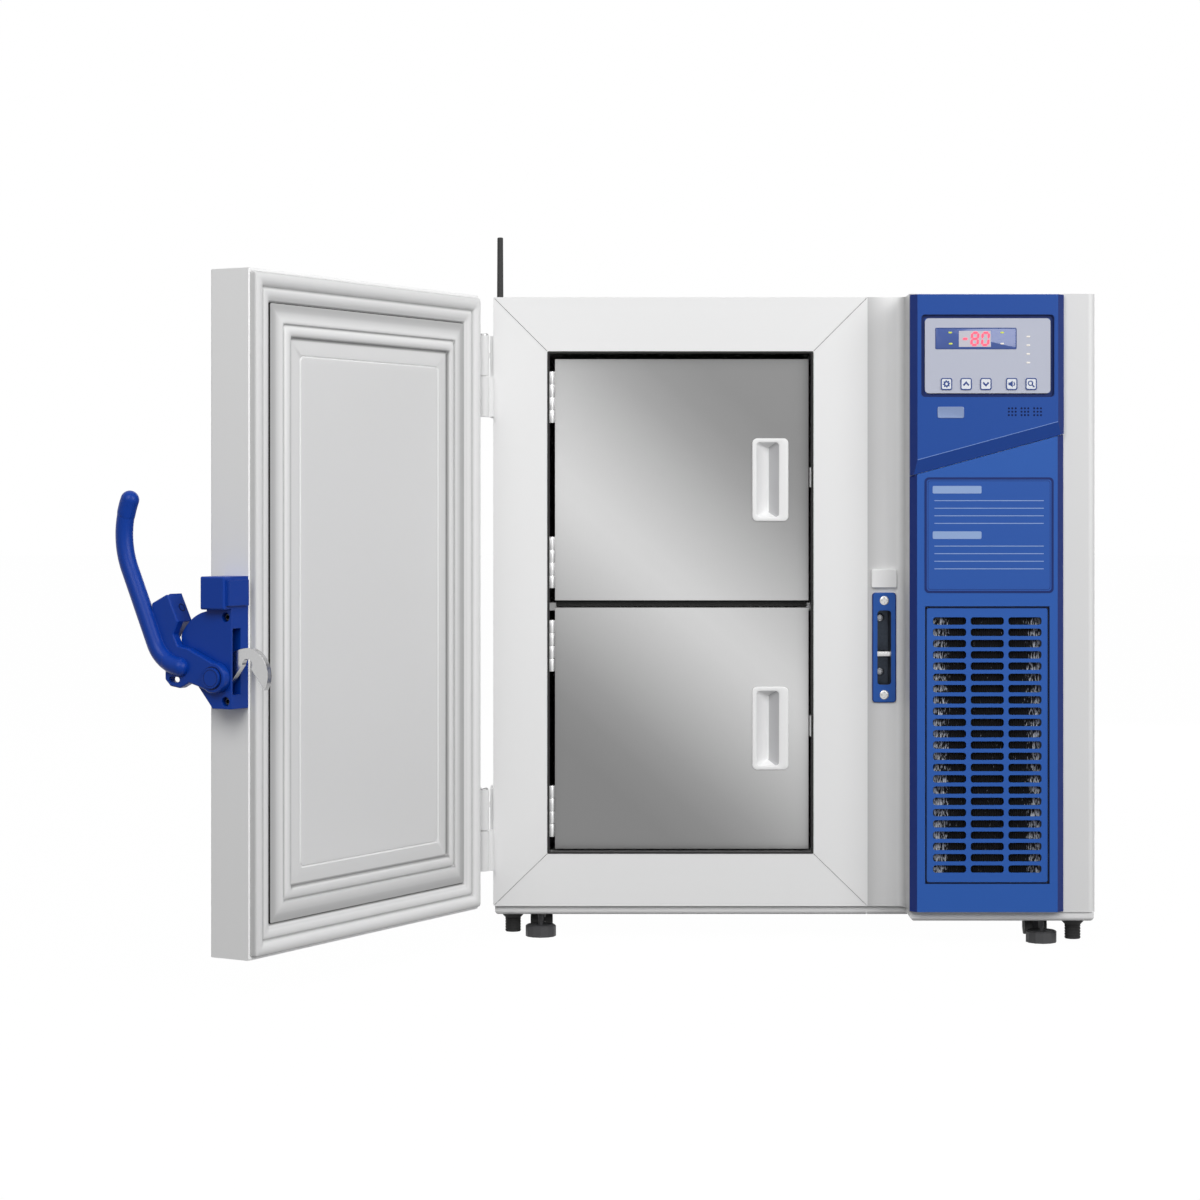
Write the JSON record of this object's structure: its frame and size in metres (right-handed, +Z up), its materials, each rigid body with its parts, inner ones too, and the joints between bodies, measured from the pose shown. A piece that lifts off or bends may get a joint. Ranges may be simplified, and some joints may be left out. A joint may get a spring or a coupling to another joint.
{
  "type": "ultra low temperature freezer",
  "caption": "Undercounter ultra low temperature freezer with a thick lever-latched outer door, stainless inner doors, a side control column and a slotted condenser grille.",
  "frame": {"origin": "on the floor, below the middle of the front face of the cabinet", "axes": "+X to the right seen from the front, +Y from the front face into the cabinet, +Z up"},
  "size_m": [1.1111, 1.1076, 0.9081],
  "materials": {
    "white_paint": "satin white powder coat",
    "grey_paint": "satin light grey powder coat",
    "blue_paint": "satin blue moulded plastic",
    "blue_casting": "blue powder coat on a light alloy casting",
    "foam": "rigid polyurethane foam",
    "stainless": "satin brushed stainless steel",
    "bright_steel": "bright plated steel",
    "copper": "drawn copper tube",
    "aluminium_fins": "dark coated aluminium fins",
    "black_steel": "black enamel",
    "black_plastic": "matte black plastic",
    "white_plastic": "satin white plastic",
    "grey_plastic": "printed lavender grey plate",
    "foot_plastic": "dark grey plastic",
    "board": "circuit board laminate",
    "gasket_rubber": "pale grey silicone",
    "black_rubber": "ribbed black rubber"
  },
  "bodies": {
    "cabinet": {"outer_casing": "white_paint", "rear_panel": "white_paint", "base_tray": "grey_paint", "front_frame": "white_paint", "insulation": "foam", "chamber_liner": "stainless", "evaporator_coil": "copper", "shelf": "stainless", "compressor": "black_steel", "condenser": "aluminium_fins", "fan_shroud": "black_steel", "fan_motor": "black_steel", "refrigerant_lines": "copper", "control_board": "board", "power_inlet": "black_plastic", "column_housing": "grey_paint", "front_panel": "blue_paint", "control_bezel": "blue_paint", "filter_grille": "blue_paint", "control_overlay": "grey_plastic", "strike_plate": "blue_casting", "strike_box": "black_steel", "strike_pin": "bright_steel", "door_sensor": "white_plastic", "cabinet_hinge_leaves": "white_paint", "inner_hinge_leaves": "bright_steel", "inner_door_catches": "white_plastic", "corner_buffers": "black_rubber", "rear_caster_forks": "black_steel"},
    "outer_door": {"door_shell": "white_paint", "door_foam": "foam", "door_liner": "white_plastic", "door_gasket": "gasket_rubber", "door_hinge_leaves": "white_paint", "lock_body": "blue_casting"},
    "lever": {"door_lever": "blue_casting", "lever_shaft": "blue_casting", "latch_hook": "bright_steel"},
    "upper_door": {"upper_inner_door": "stainless", "upper_inner_core": "foam", "upper_inner_pull": "white_plastic"},
    "lower_door": {"lower_inner_door": "stainless", "lower_inner_core": "foam", "lower_inner_pull": "white_plastic"},
    "fan": {"fan_blades": "black_plastic"},
    "antenna_swivel": {"antenna_base": "black_plastic"},
    "antenna": {"antenna_whip": "black_plastic"},
    "left_foot": {"left_levelling_foot": "foot_plastic"},
    "right_foot": {"right_levelling_foot": "foot_plastic"},
    "front_left_fork": {"front_left_caster_fork": "black_steel"},
    "front_right_fork": {"front_right_caster_fork": "black_steel"},
    "front_left_wheels": {"front_left_caster_wheels": "black_plastic"},
    "front_right_wheels": {"front_right_caster_wheels": "black_plastic"},
    "rear_left_wheels": {"rear_left_caster_wheels": "black_plastic"},
    "rear_right_wheels": {"rear_right_caster_wheels": "black_plastic"},
    "settings_button": {"settings_key": "grey_plastic"},
    "up_button": {"up_key": "grey_plastic"},
    "down_button": {"down_key": "grey_plastic"},
    "silence_button": {"silence_key": "grey_plastic"},
    "inquiry_button": {"inquiry_key": "grey_plastic"}
  },
  "joints": [
    {"name": "door_swing", "type": "hinge", "parent": "cabinet", "child": "outer_door", "pos_m": [-0.372, -0.011, 0.4], "axis": [0, 0, -1], "range_deg": [-120, 15]},
    {"name": "lever_turn", "type": "hinge", "parent": "outer_door", "child": "lever", "pos_m": [-0.62672, -0.41819, 0.342], "axis": [-0.5, -0.866, 0], "range_deg": [-18, 22]},
    {"name": "upper_door_swing", "type": "hinge", "parent": "cabinet", "child": "upper_door", "pos_m": [-0.29, 0.019, 0.555], "axis": [0, 0, -1], "range_deg": [0, 95]},
    {"name": "lower_door_swing", "type": "hinge", "parent": "cabinet", "child": "lower_door", "pos_m": [-0.29, 0.019, 0.254], "axis": [0, 0, -1], "range_deg": [0, 95]},
    {"name": "fan_spin", "type": "hinge", "parent": "cabinet", "child": "fan", "pos_m": [0.2295, 0, 0.24], "axis": [0, 1, 0], "continuous": true},
    {"name": "antenna_turn", "type": "hinge", "parent": "cabinet", "child": "antenna_swivel", "pos_m": [-0.36, 0.6, 0.735], "axis": [1, 0, 0], "range_deg": [-90, 90]},
    {"name": "antenna_tilt", "type": "hinge", "parent": "antenna_swivel", "child": "antenna", "pos_m": [-0.373, 0.6, 0.735], "axis": [0, -1, 0], "range_deg": [0, 90]},
    {"name": "left_foot_turn", "type": "hinge", "parent": "cabinet", "child": "left_foot", "pos_m": [-0.303, 0.028, 0], "axis": [0, 0, 1], "continuous": true},
    {"name": "right_foot_turn", "type": "hinge", "parent": "cabinet", "child": "right_foot", "pos_m": [0.3, -0.02, 0], "axis": [0, 0, 1], "continuous": true},
    {"name": "front_left_swivel", "type": "hinge", "parent": "cabinet", "child": "front_left_fork", "pos_m": [-0.303, 0.072, 0.02], "axis": [0, 0, 1], "continuous": true},
    {"name": "front_right_swivel", "type": "hinge", "parent": "cabinet", "child": "front_right_fork", "pos_m": [0.3, 0.024, 0.02], "axis": [0, 0, 1], "continuous": true},
    {"name": "front_left_roll", "type": "hinge", "parent": "front_left_fork", "child": "front_left_wheels", "pos_m": [-0.303, 0.08, 0.013], "axis": [1, 0, 0], "continuous": true},
    {"name": "front_right_roll", "type": "hinge", "parent": "front_right_fork", "child": "front_right_wheels", "pos_m": [0.3, 0.032, 0.013], "axis": [1, 0, 0], "continuous": true},
    {"name": "rear_left_roll", "type": "hinge", "parent": "cabinet", "child": "rear_left_wheels", "pos_m": [-0.303, 0.608, 0.0115], "axis": [1, 0, 0], "continuous": true},
    {"name": "rear_right_roll", "type": "hinge", "parent": "cabinet", "child": "rear_right_wheels", "pos_m": [0.3, 0.608, 0.0115], "axis": [1, 0, 0], "continuous": true},
    {"name": "settings_press", "type": "slide", "parent": "cabinet", "child": "settings_button", "axis": [0, 1, 0], "range_m": [0, 0.0005], "stiffness_N_per_m": 2000},
    {"name": "up_press", "type": "slide", "parent": "cabinet", "child": "up_button", "axis": [0, 1, 0], "range_m": [0, 0.0005], "stiffness_N_per_m": 2000},
    {"name": "down_press", "type": "slide", "parent": "cabinet", "child": "down_button", "axis": [0, 1, 0], "range_m": [0, 0.0005], "stiffness_N_per_m": 2000},
    {"name": "silence_press", "type": "slide", "parent": "cabinet", "child": "silence_button", "axis": [0, 1, 0], "range_m": [0, 0.0005], "stiffness_N_per_m": 2000},
    {"name": "inquiry_press", "type": "slide", "parent": "cabinet", "child": "inquiry_button", "axis": [0, 1, 0], "range_m": [0, 0.0005], "stiffness_N_per_m": 2000}
  ]
}
